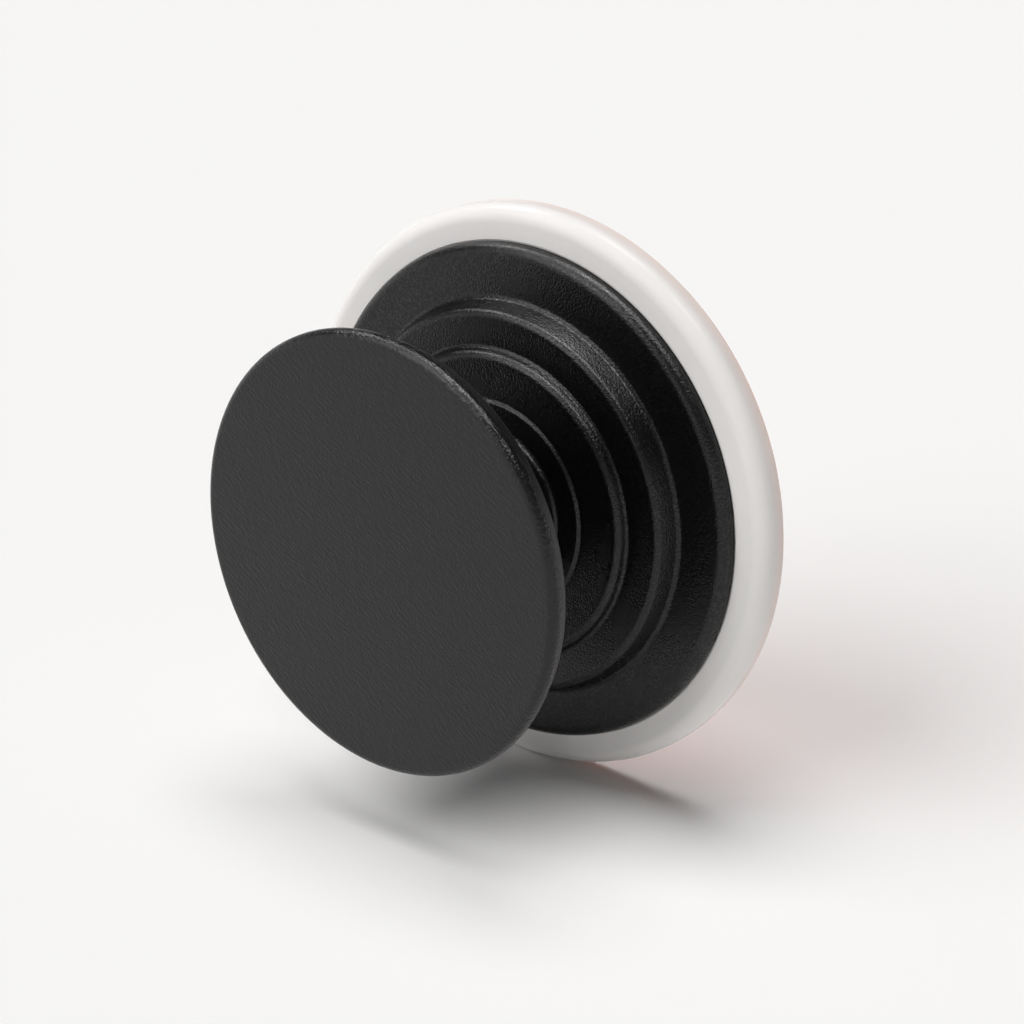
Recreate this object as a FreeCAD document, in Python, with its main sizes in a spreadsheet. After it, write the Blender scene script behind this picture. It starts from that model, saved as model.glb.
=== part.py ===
import FreeCAD, Part
import math
import os
import Sketcher

# A pop-out phone grip, drawn expanded. Every piece is turned about the Y axis. The pad's bonding face
# lies on y = 0, and +Y runs along the accordion to the finger top. Lengths are in millimetres.

doc = FreeCAD.newDocument("phone_grip")

DRIVING_SIZES = [
    ("pad_radius", 14.9, "outer radius of the bonding pad"),
    ("pad_thickness", 0.85, "bonding pad, front to back"),
    ("pad_edge_round", 0.6, "rounding of the pad's bonding edge"),
    ("pad_rear_round", 0.12, "rounding of the pad's rear edge"),
    ("plate_inset", 0.5, "step from the pad's rim in to the plate's rim"),
    ("plate_thickness", 1.1, "base plate, front to back"),
    ("plate_edge_round", 0.25, "rounding of the plate's rear edge"),
    ("hub_height", 2.2, "hub above the plate's rear face"),
    ("hub_end_round", 0.4, "rounding of the hub's end"),
    ("bead_round", 0.5, "section radius of the hub's snap bead"),
    ("bead_sink", 0.15, "bead's centre inside the hub's surface"),
    ("bead_height", 1.2, "bead's centre above the plate's rear face"),
    ("snap_clearance", 0.05, "hub and bead to the accordion's socket"),
    ("socket_end_gap", 0.4, "hub's end to the end of the socket"),
    ("accordion_length", 13.47, "neck foot to the flange's seat, expanded"),
    ("wall", 0.5, "moulded wall of the accordion"),
    ("neck_foot_radius", 5.6, "outer radius of the neck on the plate"),
    ("flare_round", 0.4, "hollow of the neck under the lip"),
    ("lip_radius", 7.47, "outer radius of the lip"),
    ("lip_round", 0.15, "rounding of the lip's edge"),
    ("lip_shelf", 1.2, "flat under the lip"),
    ("lip_rise", 3.47, "lip above the flange's seat"),
    ("groove_lean", 0.02, "outward lean of the wall behind the lip"),
    ("groove_bend", 0.2, "bend at the floor of the groove"),
    ("groove_rise", 3.22, "groove's floor above the flange's seat"),
    ("inner_ridge_flank", 1.72, "run of the inner ridge's rising side"),
    ("inner_ridge_bend", 0.1, "inside bend of the inner ridge"),
    ("inner_ridge_rise", 3.43, "inner ridge's crest above the flange's seat"),
    ("valley_lean", 0.02, "outward lean of the inner ridge's outer side"),
    ("valley_bend", 0.3, "bend at the floor of the valley"),
    ("valley_rise", 2.62, "valley's floor above the flange's seat"),
    ("outer_ridge_flank", 0.96, "run of the outer ridge's rising side"),
    ("outer_ridge_bend", 0.05, "inside bend of the outer ridge"),
    ("outer_ridge_rise", 2.73, "outer ridge's crest above the flange's seat"),
    ("foot_lean", 0.29, "outward lean of the outer ridge's outer side"),
    ("foot_bend", 0.4, "bend where that side meets the flange"),
    ("flange_thickness", 1.06, "flange, front to back"),
    ("flange_width", 3.37, "bend's centre to the flange's rim"),
    ("flange_edge_round", 0.8, "rounding of the flange's finger edge"),
    ("flange_rear_round", 0.1, "rounding of the flange's seated edge"),
    ("top_radius", 20.0, "outer radius of the finger top"),
    ("top_thickness", 2.05, "finger top, front to back"),
    ("top_rear_round", 1.2, "rounding of the top's finger edge"),
    ("top_far_round", 0.15, "rounding of the top's edge at its face"),
    ("recess_depth", 0.1, "flange's seat below the top's finger side"),
    ("recess_clearance", 0.06, "flange's rim to the recess around it"),
    ("recess_round", 0.05, "rounding of the recess's mouth"),
    ("face_reveal", 0.05, "white margin round the coloured face"),
    ("face_thickness", 0.48, "coloured face, front to back"),
    ("face_edge_round", 0.4, "rounding of the coloured face's edge"),
]

# Radii and levels that follow from the driving sizes. A fold's outer side adds the wall to its inside bend.
DERIVED_SIZES = [
    ("plate_radius", "Sizes.pad_radius - Sizes.plate_inset"),
    ("seat_level", "Sizes.pad_thickness + Sizes.plate_thickness"),
    ("flange_level", "Layout.seat_level + Sizes.accordion_length"),
    ("rear_level", "Layout.flange_level - Sizes.recess_depth"),
    ("face_level", "Layout.rear_level + Sizes.top_thickness"),
    ("end_level", "Layout.face_level + Sizes.face_thickness"),
    ("pad_edge_across", "Sizes.pad_radius - Sizes.pad_edge_round"),
    ("pad_rear_across", "Sizes.pad_radius - Sizes.pad_rear_round"),
    ("pad_rear_along", "Sizes.pad_thickness - Sizes.pad_rear_round"),
    ("plate_edge_across", "Layout.plate_radius - Sizes.plate_edge_round"),
    ("plate_edge_along", "Layout.seat_level - Sizes.plate_edge_round"),
    ("socket_radius", "Sizes.neck_foot_radius - Sizes.wall"),
    ("hub_radius", "Layout.socket_radius - Sizes.snap_clearance"),
    ("hub_level", "Layout.seat_level + Sizes.hub_height"),
    ("hub_end_across", "Layout.hub_radius - Sizes.hub_end_round"),
    ("hub_end_along", "Layout.hub_level - Sizes.hub_end_round"),
    ("bead_across", "Layout.hub_radius - Sizes.bead_sink"),
    ("bead_along", "Layout.seat_level + Sizes.bead_height"),
    ("bead_groove_round", "Sizes.bead_round + Sizes.snap_clearance"),
    ("socket_level", "Layout.hub_level + Sizes.socket_end_gap"),
    ("lip_across", "Sizes.lip_radius - Sizes.lip_round"),
    ("lip_along", "Layout.flange_level - Sizes.lip_rise + Sizes.lip_round"),
    ("flare_across", "Layout.lip_across - Sizes.lip_shelf"),
    ("flare_along", "Layout.flange_level - Sizes.lip_rise - Sizes.flare_round"),
    ("flare_back", "Sizes.flare_round + Sizes.wall"),
    ("groove_across", "Sizes.lip_radius + Sizes.groove_lean + Sizes.groove_bend"),
    ("groove_along", "Layout.flange_level - Sizes.groove_rise - Sizes.groove_bend"),
    ("groove_back", "Sizes.groove_bend + Sizes.wall"),
    ("inner_ridge_front", "Sizes.inner_ridge_bend + Sizes.wall"),
    ("inner_ridge_across", "Layout.groove_across + Sizes.groove_bend + Sizes.inner_ridge_flank"
                           " + Layout.inner_ridge_front"),
    ("inner_ridge_along", "Layout.flange_level - Sizes.inner_ridge_rise + Layout.inner_ridge_front"),
    ("valley_across", "Layout.inner_ridge_across + Layout.inner_ridge_front + Sizes.valley_lean"
                      " + Sizes.valley_bend"),
    ("valley_along", "Layout.flange_level - Sizes.valley_rise - Sizes.valley_bend"),
    ("valley_back", "Sizes.valley_bend + Sizes.wall"),
    ("outer_ridge_front", "Sizes.outer_ridge_bend + Sizes.wall"),
    ("outer_ridge_across", "Layout.valley_across + Sizes.valley_bend + Sizes.outer_ridge_flank"
                           " + Layout.outer_ridge_front"),
    ("outer_ridge_along", "Layout.flange_level - Sizes.outer_ridge_rise + Layout.outer_ridge_front"),
    ("foot_across", "Layout.outer_ridge_across + Layout.outer_ridge_front + Sizes.foot_lean"
                    " + Sizes.foot_bend"),
    ("foot_along", "Layout.flange_level - Sizes.flange_thickness - Sizes.foot_bend"),
    ("flange_radius", "Layout.foot_across + Sizes.flange_width"),
    ("flange_edge_across", "Layout.flange_radius - Sizes.flange_edge_round"),
    ("flange_edge_along", "Layout.flange_level - Sizes.flange_thickness + Sizes.flange_edge_round"),
    ("flange_rear_across", "Layout.flange_radius - Sizes.flange_rear_round"),
    ("flange_rear_along", "Layout.flange_level - Sizes.flange_rear_round"),
    ("flange_bore", "Layout.outer_ridge_across + Sizes.outer_ridge_bend"),
    ("recess_radius", "Layout.flange_radius + Sizes.recess_clearance"),
    ("recess_mouth_across", "Layout.recess_radius + Sizes.recess_round"),
    ("recess_mouth_along", "Layout.rear_level + Sizes.recess_round"),
    ("top_rear_across", "Sizes.top_radius - Sizes.top_rear_round"),
    ("top_rear_along", "Layout.rear_level + Sizes.top_rear_round"),
    ("top_far_across", "Sizes.top_radius - Sizes.top_far_round"),
    ("top_far_along", "Layout.face_level - Sizes.top_far_round"),
    ("face_radius", "Layout.top_far_across - Sizes.face_reveal"),
    ("face_edge_across", "Layout.face_radius - Sizes.face_edge_round"),
    ("face_edge_along", "Layout.end_level - Sizes.face_edge_round"),
]

LEFT = 1
RIGHT = -1


def fill_sheet():
    sheet = doc.addObject("Spreadsheet::Sheet", "Sizes")
    for row, (alias, value, meaning) in enumerate(DRIVING_SIZES, start=1):
        sheet.set(f"A{row}", meaning)
        sheet.set(f"B{row}", str(value))
        sheet.setAlias(f"B{row}", alias)
    doc.recompute()


def fill_layout():
    layout = doc.addObject("App::VarSet", "Layout")
    for name, expression in DERIVED_SIZES:
        layout.addProperty("App::PropertyFloat", name, "Layout")
        layout.setExpression(name, expression)
    doc.recompute()


def number(reference):
    """The present value of a reference such as Sizes.wall; no reference stands for zero."""
    if reference is None:
        return 0.0
    holder, name = reference.split(".")
    return float(getattr(doc.getObject(holder), name))


class Corner:
    """A corner of a meridian outline: where its centre is, and how it is rounded and turns, if it is."""

    def __init__(self, name, across, along, rounding=None, turn=LEFT):
        self.name = name
        self.across = across
        self.along = along
        self.rounding = rounding
        self.turn = turn
        self.centre = FreeCAD.Vector(number(across), number(along), 0)
        self.reach = turn * number(rounding)


def straight_run(first, second):
    """The straight run between two corners, tangent to the rounding of each."""
    way = second.centre - first.centre
    distance = way.Length
    way = way / distance
    side = FreeCAD.Vector(-way.y, way.x, 0)
    slope = (second.reach - first.reach) / distance
    normal = side * math.sqrt(1 - slope * slope) + way * slope
    return first.centre - normal * first.reach, second.centre - normal * second.reach


def bind(sketch, constraint, name, reference):
    index = sketch.addConstraint(constraint)
    sketch.renameConstraint(index, name)
    sketch.setExpression(f"Constraints.{name}", reference)


def fix_point(sketch, geometry, point, name, across, along):
    """Holds a sketch point at its radius and its level; one with no reference lies on that axis."""
    if across is None:
        sketch.addConstraint(Sketcher.Constraint("PointOnObject", geometry, point, -2))
    else:
        place = Sketcher.Constraint("DistanceX", -1, 1, geometry, point, number(across))
        bind(sketch, place, f"{name}_across", across)
    if along is None:
        sketch.addConstraint(Sketcher.Constraint("PointOnObject", geometry, point, -1))
    else:
        place = Sketcher.Constraint("DistanceY", -1, 1, geometry, point, number(along))
        bind(sketch, place, f"{name}_along", along)


def round_corner(sketch, corner, before, after, arrival, departure):
    """Adds a corner's arc, tangent to the runs before and after it."""
    circle = Part.Circle(corner.centre, FreeCAD.Vector(0, 0, 1), abs(corner.reach))
    angles = []
    for point in (arrival, departure):
        spoke = point - corner.centre
        angles.append(math.atan2(spoke.y, spoke.x))
    entry, leave = 1, 2
    if corner.turn == RIGHT:
        angles.reverse()
        entry, leave = 2, 1
    arc = sketch.addGeometry(Part.ArcOfCircle(circle, angles[0], angles[1]), False)
    sketch.addConstraint(Sketcher.Constraint("Tangent", before, 2, arc, entry))
    sketch.addConstraint(Sketcher.Constraint("Tangent", arc, leave, after, 1))
    radius = Sketcher.Constraint("Radius", arc, abs(corner.reach))
    bind(sketch, radius, f"{corner.name}_round", corner.rounding)
    return arc


def add_outline(sketch, corners):
    """Draws a closed outline through its corners, anticlockwise, with every corner held by the sizes."""
    runs = [straight_run(corner, corners[i - len(corners) + 1]) for i, corner in enumerate(corners)]
    lines = [sketch.addGeometry(Part.LineSegment(start, end), False) for start, end in runs]
    for i, corner in enumerate(corners):
        if corner.rounding is None:
            sketch.addConstraint(Sketcher.Constraint("Coincident", lines[i - 1], 2, lines[i], 1))
            fix_point(sketch, lines[i], 1, corner.name, corner.across, corner.along)
        else:
            arrival, departure = runs[i - 1][1], runs[i][0]
            arc = round_corner(sketch, corner, lines[i - 1], lines[i], arrival, departure)
            fix_point(sketch, arc, 3, corner.name, corner.across, corner.along)


def add_circle(sketch, name, across, along, rounding):
    centre = FreeCAD.Vector(number(across), number(along), 0)
    circle = Part.Circle(centre, FreeCAD.Vector(0, 0, 1), number(rounding))
    geometry = sketch.addGeometry(circle, False)
    radius = Sketcher.Constraint("Radius", geometry, number(rounding))
    bind(sketch, radius, f"{name}_round", rounding)
    fix_point(sketch, geometry, 3, name, across, along)


def start_body(label):
    body = doc.addObject("PartDesign::Body", label)
    body.Label = label
    return body


def meridian_sketch(body, name):
    """A sketch on the body's own XY plane: its horizontal is the radius, its vertical the axis of turning."""
    sketch = body.newObject("Sketcher::SketchObject", name)
    plane = next(item for item in body.Origin.OriginFeatures if item.Role == "XY_Plane")
    sketch.AttachmentSupport = (plane, [""])
    sketch.MapMode = "FlatFace"
    return sketch


def turn_about_axis(body, kind, sketch, name):
    feature = body.newObject(kind, name)
    feature.Profile = sketch
    feature.ReferenceAxis = (sketch, ["V_Axis"])
    feature.Angle = 360
    doc.recompute()
    return feature


def turned_piece(label, corners):
    """A body turned from one meridian outline."""
    body = start_body(label)
    sketch = meridian_sketch(body, f"{label}_outline")
    add_outline(sketch, corners)
    doc.recompute()
    turn_about_axis(body, "PartDesign::Revolution", sketch, f"{label}_turned")
    return body


def bonding_pad():
    """The soft disc that sticks to a phone, with a well rounded bonding edge."""
    return turned_piece("bonding_pad", [
        Corner("centre", None, None),
        Corner("edge", "Layout.pad_edge_across", "Sizes.pad_edge_round", "Sizes.pad_edge_round"),
        Corner("rear", "Layout.pad_rear_across", "Layout.pad_rear_along", "Sizes.pad_rear_round"),
        Corner("back", None, "Sizes.pad_thickness"),
    ])


def base_plate():
    """The rigid plate behind the pad. Its hub carries a bead that snaps into the accordion's neck."""
    body = turned_piece("base_plate", [
        Corner("centre", None, "Sizes.pad_thickness"),
        Corner("front", "Layout.plate_radius", "Sizes.pad_thickness"),
        Corner("edge", "Layout.plate_edge_across", "Layout.plate_edge_along", "Sizes.plate_edge_round"),
        Corner("hub_foot", "Layout.hub_radius", "Layout.seat_level"),
        Corner("hub_end", "Layout.hub_end_across", "Layout.hub_end_along", "Sizes.hub_end_round"),
        Corner("hub_top", None, "Layout.hub_level"),
    ])
    bead = meridian_sketch(body, "bead_section")
    add_circle(bead, "bead", "Layout.bead_across", "Layout.bead_along", "Sizes.bead_round")
    turn_about_axis(body, "PartDesign::Revolution", bead, "snap_bead")
    return body


def accordion():
    """The one-piece flexible moulding: a tapered neck with a lip, two rounded ridges and a seating flange.

    The outline runs up the outside from the neck's foot to the flange's rim, and back along the inside,
    where each fold has the same centre as outside, a wall's thickness away.
    """
    outside = [
        Corner("foot", "Sizes.neck_foot_radius", "Layout.seat_level"),
        Corner("flare", "Layout.flare_across", "Layout.flare_along", "Sizes.flare_round", RIGHT),
        Corner("lip", "Layout.lip_across", "Layout.lip_along", "Sizes.lip_round", LEFT),
        Corner("groove", "Layout.groove_across", "Layout.groove_along", "Sizes.groove_bend", RIGHT),
        Corner("inner_ridge", "Layout.inner_ridge_across", "Layout.inner_ridge_along",
               "Layout.inner_ridge_front", LEFT),
        Corner("valley", "Layout.valley_across", "Layout.valley_along", "Sizes.valley_bend", RIGHT),
        Corner("outer_ridge", "Layout.outer_ridge_across", "Layout.outer_ridge_along",
               "Layout.outer_ridge_front", LEFT),
        Corner("flange_foot", "Layout.foot_across", "Layout.foot_along", "Sizes.foot_bend", RIGHT),
        Corner("flange_edge", "Layout.flange_edge_across", "Layout.flange_edge_along",
               "Sizes.flange_edge_round", LEFT),
        Corner("flange_rear", "Layout.flange_rear_across", "Layout.flange_rear_along",
               "Sizes.flange_rear_round", LEFT),
    ]
    inside = [
        Corner("bore", "Layout.flange_bore", "Layout.flange_level"),
        Corner("outer_ridge_back", "Layout.outer_ridge_across", "Layout.outer_ridge_along",
               "Sizes.outer_ridge_bend", RIGHT),
        Corner("valley_back", "Layout.valley_across", "Layout.valley_along", "Layout.valley_back", LEFT),
        Corner("inner_ridge_back", "Layout.inner_ridge_across", "Layout.inner_ridge_along",
               "Sizes.inner_ridge_bend", RIGHT),
        Corner("groove_back", "Layout.groove_across", "Layout.groove_along", "Layout.groove_back", LEFT),
        Corner("flare_back", "Layout.flare_across", "Layout.flare_along", "Layout.flare_back", LEFT),
        Corner("socket_end", "Layout.socket_radius", "Layout.socket_level"),
        Corner("socket_mouth", "Layout.socket_radius", "Layout.seat_level"),
    ]
    body = turned_piece("accordion", outside + inside)
    plain_volume = body.Shape.Volume
    groove = meridian_sketch(body, "bead_groove_section")
    add_circle(groove, "bead_groove", "Layout.bead_across", "Layout.bead_along", "Layout.bead_groove_round")
    turn_about_axis(body, "PartDesign::Groove", groove, "bead_groove")
    if body.Shape.Volume >= plain_volume:
        raise RuntimeError("the bead's groove cut nothing from the accordion")
    return body


def top_button():
    """The wide disc that fingers hold behind. The accordion's flange sits in a shallow recess in it."""
    return turned_piece("top_button", [
        Corner("centre", None, "Layout.flange_level"),
        Corner("recess", "Layout.recess_radius", "Layout.flange_level"),
        Corner("recess_mouth", "Layout.recess_mouth_across", "Layout.recess_mouth_along",
               "Sizes.recess_round"),
        Corner("rear_edge", "Layout.top_rear_across", "Layout.top_rear_along", "Sizes.top_rear_round"),
        Corner("far_edge", "Layout.top_far_across", "Layout.top_far_along", "Sizes.top_far_round"),
        Corner("back", None, "Layout.face_level"),
    ])


def face_disc():
    """The thin coloured face on the far side of the top."""
    return turned_piece("face_disc", [
        Corner("centre", None, "Layout.face_level"),
        Corner("seat_edge", "Layout.face_radius", "Layout.face_level"),
        Corner("edge", "Layout.face_edge_across", "Layout.face_edge_along", "Sizes.face_edge_round"),
        Corner("back", None, "Layout.end_level"),
    ])


def check_document():
    for item in doc.Objects:
        if "Invalid" in item.State or "Error" in item.State:
            raise RuntimeError(f"{item.Label} failed to build: {item.State}")
        if item.TypeId == "Sketcher::SketchObject" and item.solve() != 0:
            raise RuntimeError(f"{item.Label} has no solution")


def write_pieces(pieces):
    for piece in pieces:
        if piece.Shape.isNull() or not piece.Shape.isValid():
            raise RuntimeError(f"{piece.Label} has no valid shape")
    os.makedirs("parts", exist_ok=True)
    for piece in pieces:
        piece.Shape.exportStep(f"parts/{piece.Label}.step")
        print(f"{piece.Label}: {piece.Shape.Volume:.1f} cubic millimetres")


fill_sheet()
fill_layout()
grip_pieces = [bonding_pad(), base_plate(), accordion(), top_button(), face_disc()]
doc.recompute()
check_document()
write_pieces(grip_pieces)
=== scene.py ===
import math
import bpy
import numpy as np
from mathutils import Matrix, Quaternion, Vector


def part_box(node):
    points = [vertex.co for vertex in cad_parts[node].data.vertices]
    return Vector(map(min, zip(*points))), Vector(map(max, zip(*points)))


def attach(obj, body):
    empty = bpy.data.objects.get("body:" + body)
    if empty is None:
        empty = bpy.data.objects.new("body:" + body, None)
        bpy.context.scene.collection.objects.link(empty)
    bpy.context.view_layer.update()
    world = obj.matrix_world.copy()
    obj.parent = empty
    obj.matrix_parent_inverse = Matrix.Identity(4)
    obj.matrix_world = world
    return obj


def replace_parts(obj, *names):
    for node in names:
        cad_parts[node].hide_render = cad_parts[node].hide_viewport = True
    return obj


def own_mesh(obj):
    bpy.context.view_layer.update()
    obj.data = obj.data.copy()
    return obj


# A pop-out phone grip, expanded. Metres in the frame, millimetres in the dictionaries.
# y = 0 is the bonding face, and +Y runs along the accordion to the finger top.
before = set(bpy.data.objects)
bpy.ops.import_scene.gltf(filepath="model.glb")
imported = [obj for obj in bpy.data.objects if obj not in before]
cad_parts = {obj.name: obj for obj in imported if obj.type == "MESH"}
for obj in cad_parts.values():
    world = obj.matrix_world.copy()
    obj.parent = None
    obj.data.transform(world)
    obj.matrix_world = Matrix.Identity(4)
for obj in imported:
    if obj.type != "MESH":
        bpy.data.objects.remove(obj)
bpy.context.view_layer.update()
mm = 0.001


def addObject(name, data):
    made = bpy.data.objects.new(name, data)
    bpy.context.scene.collection.objects.link(made)
    return made


# Turned surfaces

turning = {
    "segments": 256,  # round the axis
    "arcSteps": 16,  # points on each rounded corner
    "runStops": (0.03, 0.25, 0.5, 0.75, 0.97),  # points along each straight run
    "sameSpot": 1e-7,  # mm; points nearer than this are one, and a smaller radius is on the axis
}


def roundedOutline(corners):
    # Corners are (across, along, reach) in mm: an arc of radius |reach| about that centre, turning
    # left for + and right for -, or the bare point for 0. Between neighbours runs the common tangent:
    # with e the unit step to the next centre and q the change of reach over its length, the tangent's
    # left normal is perp(e) * sqrt(1 - q^2) + e * q, and it touches at centre - reach * normal.
    corners = np.array(corners, float)
    centre, reach = corners[:, :2], corners[:, 2]
    step = np.roll(centre, -1, axis=0) - centre
    length = np.linalg.norm(step, axis=1)
    unit = step / length[:, None]
    change = np.clip((np.roll(reach, -1) - reach) / length, -1, 1)
    perp = np.stack([-unit[:, 1], unit[:, 0]], axis=1)
    leaving = perp * np.sqrt(1 - change**2)[:, None] + unit * change[:, None]
    arriving = np.roll(leaving, 1, axis=0)
    first = np.arctan2(arriving[:, 1], arriving[:, 0])
    turn = np.arctan2(leaving[:, 1], leaving[:, 0]) - first
    turn = (turn + math.pi) % (2 * math.pi) - math.pi
    angle = first[:, None] + turn[:, None] * np.linspace(0, 1, turning["arcSteps"])
    normals = np.stack([np.cos(angle), np.sin(angle)], axis=2)
    arcs = normals * -reach[:, None, None] + centre[:, None]
    ends, starts = arcs[:, -1:], np.roll(arcs[:, :1], -1, axis=0)
    stops = np.array(turning["runStops"])[None, :, None]
    points = np.concatenate([arcs, ends + (starts - ends) * stops], axis=1).reshape(-1, 2)
    apart = np.linalg.norm(points - np.roll(points, 1, axis=0), axis=1)
    return points[apart > turning["sameSpot"]]


def turnedPiece(name, corners, body):
    # The outline (r, y) goes round Y: x = r cos(t), z = r sin(t). A point on the axis is one vertex,
    # fanned to its ring, and an outline that never meets the axis closes on itself.
    outline = roundedOutline(corners)
    onAxis = outline[:, 0] < turning["sameSpot"]
    outline = outline * mm
    meetsAxis = onAxis.any()
    if meetsAxis:
        # start at the last point of the run along the axis, so that the rings follow it
        start = np.flatnonzero(onAxis & ~np.roll(onAxis, -1))[0]
        outline = np.roll(outline, -start, axis=0)
        onAxis = np.roll(onAxis, -start)
    rings = outline[~onAxis]
    segments = turning["segments"]
    t = np.arange(segments) * (2 * math.pi / segments)
    grid = np.stack([
        rings[:, :1] * np.cos(t),
        np.repeat(rings[:, 1:], segments, axis=1),
        rings[:, :1] * np.sin(t),
    ], axis=2).reshape(-1, 3)
    spots = np.arange(len(rings) * segments).reshape(len(rings), segments)
    near = spots[:-1] if meetsAxis else spots
    far = np.roll(spots, -1, axis=0)[:len(near)]
    quads = np.stack([near, far, np.roll(far, -1, axis=1), np.roll(near, -1, axis=1)], axis=2)
    faces = quads.reshape(-1, 4).tolist()
    if meetsAxis:
        firstPole = np.full(segments, len(grid))
        fanIn = np.stack([firstPole, spots[0], np.roll(spots[0], -1)], axis=1)
        fanOut = np.stack([spots[-1], firstPole + 1, np.roll(spots[-1], -1)], axis=1)
        faces += fanIn.tolist() + fanOut.tolist()
        poleLevels = outline[[0, len(rings) + 1], 1]
        poles = np.stack([np.zeros(2), poleLevels, np.zeros(2)], axis=1)
        grid = np.concatenate([grid, poles])
    mesh = bpy.data.meshes.new(name)
    mesh.from_pydata(grid.tolist(), [], faces)
    mesh.shade_smooth()
    piece = addObject(name, mesh)
    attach(piece, body)
    print("turned", name, len(rings), "rings,", len(faces), "faces")
    return piece


def nodeBox(node):
    # a node's outer radius and its two levels along Y, in mm
    low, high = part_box(node)
    return high.x / mm, low.y / mm, high.y / mm


padRadius, padFront, padRear = nodeBox("bonding_pad")
plateRadius, plateFront, hubEnd = nodeBox("base_plate")
flangeRadius, seatLevel, flangeLevel = nodeBox("accordion")
topRadius, topRear, topFar = nodeBox("top_button")
faceRadius, faceSeat, faceEnd = nodeBox("face_disc")


# Bonding pad: a soft disc with one well-rounded edge

padShape = {"edgeRound": 0.6, "rearRound": 0.12}


def bondingPad():
    edge, rear = padShape["edgeRound"], padShape["rearRound"]
    piece = turnedPiece("pad", [
        (0, padFront, 0),
        (padRadius - edge, padFront + edge, edge),
        (padRadius - rear, padRear - rear, rear),
        (0, padRear, 0),
    ], "base")
    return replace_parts(piece, "bonding_pad")


# Base plate: a rigid plate with a hub and a snap bead for the neck

plateShape = {
    "frontRound": 0.05,
    "edgeRound": 0.25,
    "hubRadius": 5.05,
    "hubEndRound": 0.4,
    "beadRound": 0.5,
    "beadSink": 0.15,  # bead's centre inside the hub's surface
    "beadRise": 1.2,  # bead's centre above the plate
    "snapClearance": 0.05,
}


def beadStops(reach, surface):
    # the bead's centre, across and along, and how far above and below it a round section of this
    # reach meets a straight wall of radius surface
    across = plateShape["hubRadius"] - plateShape["beadSink"]
    along = seatLevel + plateShape["beadRise"]
    return across, along, math.sqrt(reach**2 - (surface - across)**2)


def basePlate():
    front, edge = plateShape["frontRound"], plateShape["edgeRound"]
    hub, hubRound = plateShape["hubRadius"], plateShape["hubEndRound"]
    beadAcross, beadAlong, beadHalf = beadStops(plateShape["beadRound"], hub)
    piece = turnedPiece("plate", [
        (0, plateFront, 0),
        (plateRadius - front, plateFront + front, front),
        (plateRadius - edge, seatLevel - edge, edge),
        (hub, seatLevel, 0),
        (hub, beadAlong - beadHalf, 0),
        (beadAcross, beadAlong, plateShape["beadRound"]),
        (hub, beadAlong + beadHalf, 0),
        (hub - hubRound, hubEnd - hubRound, hubRound),
        (0, hubEnd, 0),
    ], "base")
    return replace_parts(piece, "base_plate")


# Accordion: one moulding of even wall, with a neck, a lip, two ridges and a flange

accordionShape = {
    "wall": 0.5,
    "neckFoot": 5.6,
    "hollowUnderLip": (6.12, -3.87, -0.40),  # across, along from the flange's seat, reach
    "lip": (7.32, -3.32, 0.15),
    "groove": (7.69, -3.42, -0.20),
    "innerRidge": (10.21, -2.83, 0.60),
    "valley": (11.13, -2.92, -0.30),
    "outerRidge": (12.94, -2.18, 0.55),
    "flangeFoot": (14.18, -1.46, -0.40),
    "flangeThickness": 1.06,
    "flangeEdgeRound": 0.80,
    "flangeRearRound": 0.1,
    "socketEndGap": 0.4,  # hub's end to the end of the neck's socket
}


def accordion():
    wall, edge = accordionShape["wall"], accordionShape["flangeEdgeRound"]
    rear = accordionShape["flangeRearRound"]
    folds = ("hollowUnderLip", "lip", "groove", "innerRidge", "valley", "outerRidge", "flangeFoot")
    outside = [
        (across, flangeLevel + along, reach)
        for across, along, reach in (accordionShape[fold] for fold in folds)
    ]
    # behind each fold the wall turns about the same centre, the other way; the lip and the foot
    # are solid, so they have no bend behind them
    solidFolds = (folds.index("lip"), folds.index("flangeFoot"))
    inside = [
        (across, along, wall - reach)
        for i, (across, along, reach) in reversed(list(enumerate(outside)))
        if i not in solidFolds
    ]
    ridgeAcross, _, ridgeReach = accordionShape["outerRidge"]
    socket = accordionShape["neckFoot"] - wall
    grooveReach = plateShape["beadRound"] + plateShape["snapClearance"]
    beadAcross, beadAlong, grooveHalf = beadStops(grooveReach, socket)
    flangeFront = flangeLevel - accordionShape["flangeThickness"]
    piece = turnedPiece("accordion_skin", [
        (accordionShape["neckFoot"], seatLevel, 0),
        *outside,
        (flangeRadius - edge, flangeFront + edge, edge),
        (flangeRadius - rear, flangeLevel - rear, rear),
        (ridgeAcross + ridgeReach - wall, flangeLevel, 0),
        *inside,
        (socket, hubEnd + accordionShape["socketEndGap"], 0),
        (socket, beadAlong + grooveHalf, 0),
        (beadAcross, beadAlong, -grooveReach),
        (socket, beadAlong - grooveHalf, 0),
        (socket, seatLevel, 0),
    ], "base")
    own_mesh(piece)
    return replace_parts(piece, "accordion")


# Finger top: a milky white disc, recessed for the flange, with a thin coral face behind it

topShape = {
    "recessClearance": 0.06,
    "recessFootRound": 0.02,
    "recessRound": 0.05,
    "rearRound": 1.2,
    "farRound": 0.15,
}
faceShape = {"seatRound": 0.04, "edgeRound": 0.4}


def fingerTop():
    foot, mouth = topShape["recessFootRound"], topShape["recessRound"]
    rear, far = topShape["rearRound"], topShape["farRound"]
    recess = flangeRadius + topShape["recessClearance"]
    piece = turnedPiece("top", [
        (0, flangeLevel, 0),
        (recess - foot, flangeLevel - foot, -foot),
        (recess + mouth, topRear + mouth, mouth),
        (topRadius - rear, topRear + rear, rear),
        (topRadius - far, topFar - far, far),
        (0, topFar, 0),
    ], "top")
    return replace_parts(piece, "top_button")


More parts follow.
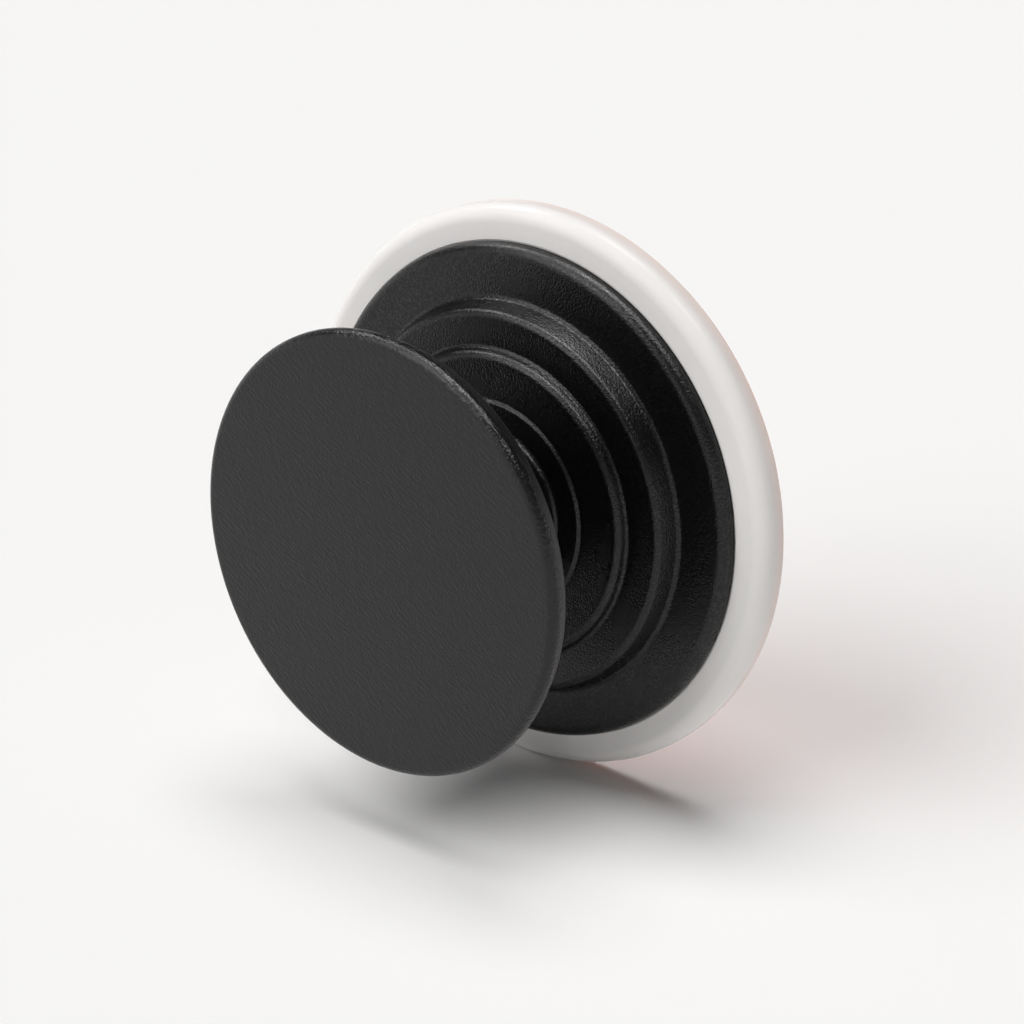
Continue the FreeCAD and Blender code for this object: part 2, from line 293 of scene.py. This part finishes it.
def faceDisc():
    seat, edge = faceShape["seatRound"], faceShape["edgeRound"]
    piece = turnedPiece("face", [
        (0, faceSeat, 0),
        (faceRadius - seat, faceSeat + seat, seat),
        (faceRadius - edge, faceEnd - edge, edge),
        (0, faceEnd, 0),
    ], "top")
    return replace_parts(piece, "face_disc")


# Shader sums

mixPlaces = {"first": 6, "second": 7, "result": 2}  # a Mix node's colour sockets
noiseLook = {
    "middle": 0.5,  # what a noise varies about
    "low": 0.3,  # a tint is all first colour below this
    "high": 0.7,  # and all second colour above this
    "grainDetail": 2.0,  # octaves of a fine grain
    "cloudDetail": 3.0,  # octaves of clouds and patches
}


class Signal:
    # wraps one socket, so that + - * on it add Math nodes to its tree
    def __init__(self, tree, socket=None):
        self.tree = tree
        self.socket = socket

    def node(self, kind, setup, sockets, pick=0):
        # any node: its settings first, then its sockets by name or place; gives one output back
        made = self.tree.nodes.new(kind)
        for key, value in setup.items():
            setattr(made, key, value)
        for key, value in sockets.items():
            if isinstance(value, Signal):
                self.tree.links.new(value.socket, made.inputs[key])
            else:
                made.inputs[key].default_value = value
        return Signal(self.tree, made.outputs[pick] if made.outputs else None)

    def math(self, operation, first, second):
        return self.node("ShaderNodeMath", {"operation": operation}, {0: first, 1: second})

    def __add__(self, other):
        return self.math("ADD", self, other)

    def __radd__(self, other):
        return self.math("ADD", other, self)

    def __sub__(self, other):
        return self.math("SUBTRACT", self, other)

    def __mul__(self, other):
        return self.math("MULTIPLY", self, other)

    def __rmul__(self, other):
        return self.math("MULTIPLY", other, self)

    def axis(self, name):
        # one coordinate of this place
        return self.node("ShaderNodeSeparateXYZ", {}, {"Vector": self}, pick=name)

    def smooth(self, low, high):
        # 0 below low, 1 above high, an S-curve between
        sockets = {"Value": self, "From Min": low, "From Max": high}
        return self.node("ShaderNodeMapRange", {"interpolation_type": "SMOOTHSTEP"}, sockets)

    def between(self, first, second):
        # a colour, from first where this is 0 to second where it is 1; each is a colour or a Signal
        ends = [end if isinstance(end, Signal) else (*end, 1.0) for end in (first, second)]
        sockets = {"Factor": self, mixPlaces["first"]: ends[0], mixPlaces["second"]: ends[1]}
        return self.node("ShaderNodeMix", {"data_type": "RGBA"}, sockets, pick=mixPlaces["result"])

    def tint(self, first, second):
        # a noise's own soft change from one colour to the other
        return self.smooth(noiseLook["low"], noiseLook["high"]).between(first, second)

    def noise(self, size, detail):
        # soft lumps about size mm across, around the middle, read from this place
        sockets = {"Vector": self, "Scale": 1 / (size * mm), "Detail": detail}
        return self.node("ShaderNodeTexNoise", {}, sockets)

    def grain(self, size):
        return self.noise(size, noiseLook["grainDetail"])

    def clouds(self, size):
        return self.noise(size, noiseLook["cloudDetail"])

    def roughness(self, finish):
        # this noise makes the finish a little rougher here and a little smoother there
        return finish["roughness"] + (self - noiseLook["middle"]) * finish["roughnessSpread"]

    def bump(self, depth):
        # this height, 0 to 1, raises the surface by up to depth mm
        return self.node("ShaderNodeBump", {}, {"Height": self, "Distance": depth * mm})


def newFinish(name):
    material = bpy.data.materials.new(name)
    material.use_nodes = True
    material.node_tree.nodes.clear()
    place = Signal(material.node_tree).node("ShaderNodeTexCoord", {}, {}, pick="Object")
    return material, place


def closeFinish(place, sockets):
    surface = place.node("ShaderNodeBsdfPrincipled", {}, sockets)
    place.node("ShaderNodeOutputMaterial", {}, {"Surface": surface})


# Finishes

padFinish = {
    "darkColour": (0.0040, 0.0040, 0.0042),
    "paleColour": (0.0062, 0.0062, 0.0066),
    "ior": 1.42,
    "roughness": 0.40,
    "roughnessSpread": 0.10,
    "wornWidth": 1.0,  # rim that handling has made glossier
    "wornRoughness": 0.27,
    "streakLength": 0.75,
    "streakWidth": 0.20,
    "streakTurn": 30,  # degrees below +X, seen from the bonding side
    "streakDepth": 0.050,
    "pebbleSize": 0.16,
    "pebbleDepth": 0.036,
    "patchSize": 4.0,
}


def padBlack():
    # soft black with a fine slanting grain: long thin lumps over small round ones
    material, place = newFinish("padBlack")
    streakWidth = padFinish["streakWidth"] * mm
    # turned along the streaks and measured in them, so the noise on it has a scale of 1
    inStreaks = place.node("ShaderNodeMapping", {"vector_type": "TEXTURE"}, {
        "Vector": place,
        "Rotation": (0, math.radians(padFinish["streakTurn"]), 0),
        "Scale": (padFinish["streakLength"] * mm, streakWidth, streakWidth),
    })
    streaks = inStreaks.node("ShaderNodeTexNoise", {}, {
        "Vector": inStreaks,
        "Scale": 1.0,
        "Detail": noiseLook["grainDetail"],
    })
    share = padFinish["pebbleDepth"] / padFinish["streakDepth"]
    height = streaks + place.grain(padFinish["pebbleSize"]) * share
    # worn from 0 to 1 across the rim, by the square of the distance from the axis
    x, z = place.axis("X"), place.axis("Z")
    wornFrom = (padRadius - padFinish["wornWidth"]) * mm
    worn = (x * x + z * z).smooth(wornFrom**2, (padRadius * mm)**2)
    roughness = place.clouds(padFinish["patchSize"]).roughness(padFinish)
    closeFinish(place, {
        "Base Color": streaks.tint(padFinish["darkColour"], padFinish["paleColour"]),
        "Roughness": roughness + worn * (padFinish["wornRoughness"] - padFinish["roughness"]),
        "Normal": height.bump(padFinish["streakDepth"]),
        "IOR": padFinish["ior"],
    })
    return material


plateFinish = {
    "darkColour": (0.0040, 0.0040, 0.0042),
    "paleColour": (0.0070, 0.0070, 0.0074),
    "ior": 1.5,
    "roughness": 0.36,
    "roughnessSpread": 0.12,
    "grainSize": 0.12,
    "grainDepth": 0.002,
    "patchSize": 2.5,
}


def plateBlack():
    # satin moulded plastic: a faint fine grain and cloudy gloss
    material, place = newFinish("plateBlack")
    patches = place.clouds(plateFinish["patchSize"])
    closeFinish(place, {
        "Base Color": patches.tint(plateFinish["darkColour"], plateFinish["paleColour"]),
        "Roughness": patches.roughness(plateFinish),
        "Normal": place.grain(plateFinish["grainSize"]).bump(plateFinish["grainDepth"]),
        "IOR": plateFinish["ior"],
    })
    return material


accordionFinish = {
    "darkColour": (0.0022, 0.0022, 0.0023),
    "paleColour": (0.0045, 0.0045, 0.0048),
    "paleFrom": 0.35,  # heights of the grain between which its colour turns pale
    "paleTo": 0.70,
    "ior": 1.37,
    "roughness": 0.27,
    "roughnessSpread": 0.06,
    "grainSize": 0.15,
    "grainDepth": 0.044,
    "patchSize": 3.0,
    "speckFrom": 0.45,  # heights of the grain between which a pebble's top turns glossier
    "speckTo": 0.70,
    "speckGloss": 0.4,
    "speckRoughness": 0.22,
}


def accordionBlack():
    # flexible black with a fine moulded grain of low pebbles, which breaks its sheen into specks
    material, place = newFinish("accordionBlack")
    pebbles = place.grain(accordionFinish["grainSize"])
    pale = pebbles.smooth(accordionFinish["paleFrom"], accordionFinish["paleTo"])
    specks = pebbles.smooth(accordionFinish["speckFrom"], accordionFinish["speckTo"])
    closeFinish(place, {
        "Base Color": pale.between(accordionFinish["darkColour"], accordionFinish["paleColour"]),
        "Roughness": place.clouds(accordionFinish["patchSize"]).roughness(accordionFinish),
        "Normal": pebbles.bump(accordionFinish["grainDepth"]),
        "IOR": accordionFinish["ior"],
        "Coat Weight": accordionFinish["speckGloss"] * specks,
        "Coat Roughness": accordionFinish["speckRoughness"],
    })
    return material


topFinish = {
    "colour": (0.88, 0.858, 0.842),
    "cloudColour": (0.86, 0.838, 0.822),
    "cloudSize": 6.0,
    "coralBleedColour": (0.93, 0.79, 0.74),  # painted light: coral light scattered through the milky rim, painted in as colour
    "rimFrom": 0.30,  # shares of the top's thickness, from the finger side
    "rimTo": 1.0,
    "ior": 1.5,
    "gloss": 0.09,
    "roughness": 0.17,
    "roughnessSpread": 0.06,
    "waveSize": 2.5,
    "waveDepth": 0.004,
}


def topWhite():
    # glossy milky white, faintly cloudy, with painted coral light towards the coral face, where light
    # scatters through it
    material, place = newFinish("topWhite")
    clouds = place.clouds(topFinish["cloudSize"])
    white = clouds.tint(topFinish["colour"], topFinish["cloudColour"])
    thickness = topFar - topRear
    rimFrom = (topRear + thickness * topFinish["rimFrom"]) * mm
    rimTo = (topRear + thickness * topFinish["rimTo"]) * mm
    # painted light: towards the face the colour turns to the painted coral bleed, which stands in for
    # light scattered through the white
    rim = place.axis("Y").smooth(rimFrom, rimTo)
    closeFinish(place, {
        "Base Color": rim.between(white, topFinish["coralBleedColour"]),
        "Roughness": clouds.roughness(topFinish),
        "Normal": place.grain(topFinish["waveSize"]).bump(topFinish["waveDepth"]),
        "IOR": topFinish["ior"],
        "Specular IOR Level": topFinish["gloss"],
    })
    return material


faceFinish = {
    "colour": (0.82, 0.17, 0.09),
    "deepColour": (0.80, 0.16, 0.085),
    "cloudSize": 7.0,
    "ior": 1.5,
    "gloss": 0.25,
    "roughness": 0.20,
    "roughnessSpread": 0.04,
    "waveSize": 3.0,
    "waveDepth": 0.004,
}


def faceCoral():
    # glossy coral, a little deeper in soft clouds
    material, place = newFinish("faceCoral")
    clouds = place.clouds(faceFinish["cloudSize"])
    closeFinish(place, {
        "Base Color": clouds.tint(faceFinish["colour"], faceFinish["deepColour"]),
        "Roughness": clouds.roughness(faceFinish),
        "Normal": place.grain(faceFinish["waveSize"]).bump(faceFinish["waveDepth"]),
        "IOR": faceFinish["ior"],
        "Specular IOR Level": faceFinish["gloss"],
    })
    return material


# Floor, light and camera

floorLook = {
    "colour": (0.950, 0.942, 0.934),
    "halfSide": 6.0,  # metres
    "divisions": 8,
    "gap": 0.02,  # mm under the white rim
    "roughness": 0.7,
    "gloss": 0.0,
}


def paleFloor():
    # a level square just under the lowest rim: x and y over the grid, z constant
    half = floorLook["halfSide"]
    spread = np.linspace(-half, half, floorLook["divisions"] + 1)
    x, y = np.meshgrid(spread, spread)
    grid = np.stack([x, y, np.full_like(x, -(topRadius + floorLook["gap"]) * mm)], axis=2)
    spots = np.arange(x.size).reshape(x.shape)
    quads = np.stack([spots[:-1, :-1], spots[:-1, 1:], spots[1:, 1:], spots[1:, :-1]], axis=2)
    mesh = bpy.data.meshes.new("floor")
    mesh.from_pydata(grid.reshape(-1, 3).tolist(), [], quads.reshape(-1, 4).tolist())
    floor = addObject("floor", mesh)
    material, place = newFinish("floorPale")
    closeFinish(place, {
        "Base Color": (*floorLook["colour"], 1.0),
        "Roughness": floorLook["roughness"],
        "Specular IOR Level": floorLook["gloss"],
    })
    floor.data.materials.append(material)


# Each lamp stands far off in the direction "from" and is "angle" degrees wide. A lamp that is
# "glossOnly" shows as a highlight in the finishes and adds no other light.
lampLooks = {
    "key": {"from": (-0.04, 0.0, 0.999), "strength": 1.8, "angle": 36, "glossOnly": False},
    "fill": {"from": (-0.30, -0.72, 0.625), "strength": 1.7, "angle": 46, "glossOnly": False},
    "sparkRight": {"from": (0.45, -0.14, 0.88), "strength": 0.9, "angle": 20, "glossOnly": True},
    "sparkTop": {"from": (-0.04, 0.0, 0.999), "strength": 0.5, "angle": 14, "glossOnly": True},
    "sparkLeft": {"from": (-0.63, 0.0, 0.776), "strength": 0.9, "angle": 20, "glossOnly": True},
}


def studioLamps():
    for name, look in lampLooks.items():
        lamp = bpy.data.lights.new(name, "SUN")
        lamp.energy = look["strength"]
        lamp.angle = math.radians(look["angle"])
        holder = addObject(name, lamp)
        holder.rotation_mode = "QUATERNION"
        holder.rotation_quaternion = Vector(look["from"]).to_track_quat("Z", "Y")
        holder.visible_diffuse = not look["glossOnly"]


worldLook = {
    "horizonColour": (0.30, 0.298, 0.295),
    "backdropColour": (0.930, 0.922, 0.914),  # what the camera and reflections see there
    "skyColour": (0.05, 0.05, 0.05),
    "skyFrom": 0.10,  # the sky's fade, by the height of the ray's direction
    "skyTo": 0.40,
}


def studioWorld():
    # a pale horizon that fades to a dim sky
    world = bpy.data.worlds.new("studio")
    world.use_nodes = True
    world.node_tree.nodes.clear()
    ray = Signal(world.node_tree).node("ShaderNodeTexCoord", {}, {}, pick="Generated")
    kinds = ("Is Camera Ray", "Is Glossy Ray", "Is Transmission Ray")
    seen = sum(ray.node("ShaderNodeLightPath", {}, {}, pick=kind) for kind in kinds)
    horizon = seen.between(worldLook["horizonColour"], worldLook["backdropColour"])
    fade = ray.axis("Z").smooth(worldLook["skyFrom"], worldLook["skyTo"])
    sky = fade.between(horizon, worldLook["skyColour"])
    glow = sky.node("ShaderNodeBackground", {}, {"Color": sky})
    glow.node("ShaderNodeOutputWorld", {}, {"Surface": glow})
    bpy.context.scene.world = world


cameraLook = {
    "aim": (2.27, 11.57, 0.32),  # mm
    "distance": 147.1,  # mm
    "azimuth": 39.01,  # degrees round from the front
    "elevation": 21.32,
    "roll": 0.23,
    "lens": 77.46,
    "sensor": 36.0,
    "clipStart": 0.01,  # metres
    "clipEnd": 100.0,
}


def photoCamera():
    turn, rise = math.radians(cameraLook["azimuth"]), math.radians(cameraLook["elevation"])
    level = math.cos(rise)
    back = Vector((math.sin(turn) * level, -math.cos(turn) * level, math.sin(rise)))
    data = bpy.data.cameras.new("camera")
    data.lens = cameraLook["lens"]
    data.sensor_width = cameraLook["sensor"]
    data.clip_start = cameraLook["clipStart"]
    data.clip_end = cameraLook["clipEnd"]
    camera = addObject("camera", data)
    camera.rotation_mode = "QUATERNION"
    camera.location = Vector(cameraLook["aim"]) * mm + back * cameraLook["distance"] * mm
    roll = Quaternion((0, 0, 1), math.radians(cameraLook["roll"]))
    camera.rotation_quaternion = (-back).to_track_quat("-Z", "Y") @ roll
    bpy.context.scene.camera = camera


makers = (
    (bondingPad, padBlack),
    (basePlate, plateBlack),
    (accordion, accordionBlack),
    (fingerTop, topWhite),
    (faceDisc, faceCoral),
)
for makePiece, makeFinish in makers:
    makePiece().data.materials.append(makeFinish())
print("pieces finished")
paleFloor()
studioLamps()
studioWorld()
photoCamera()
bpy.context.scene.view_settings.view_transform = "Standard"
print("floor, light and camera set")
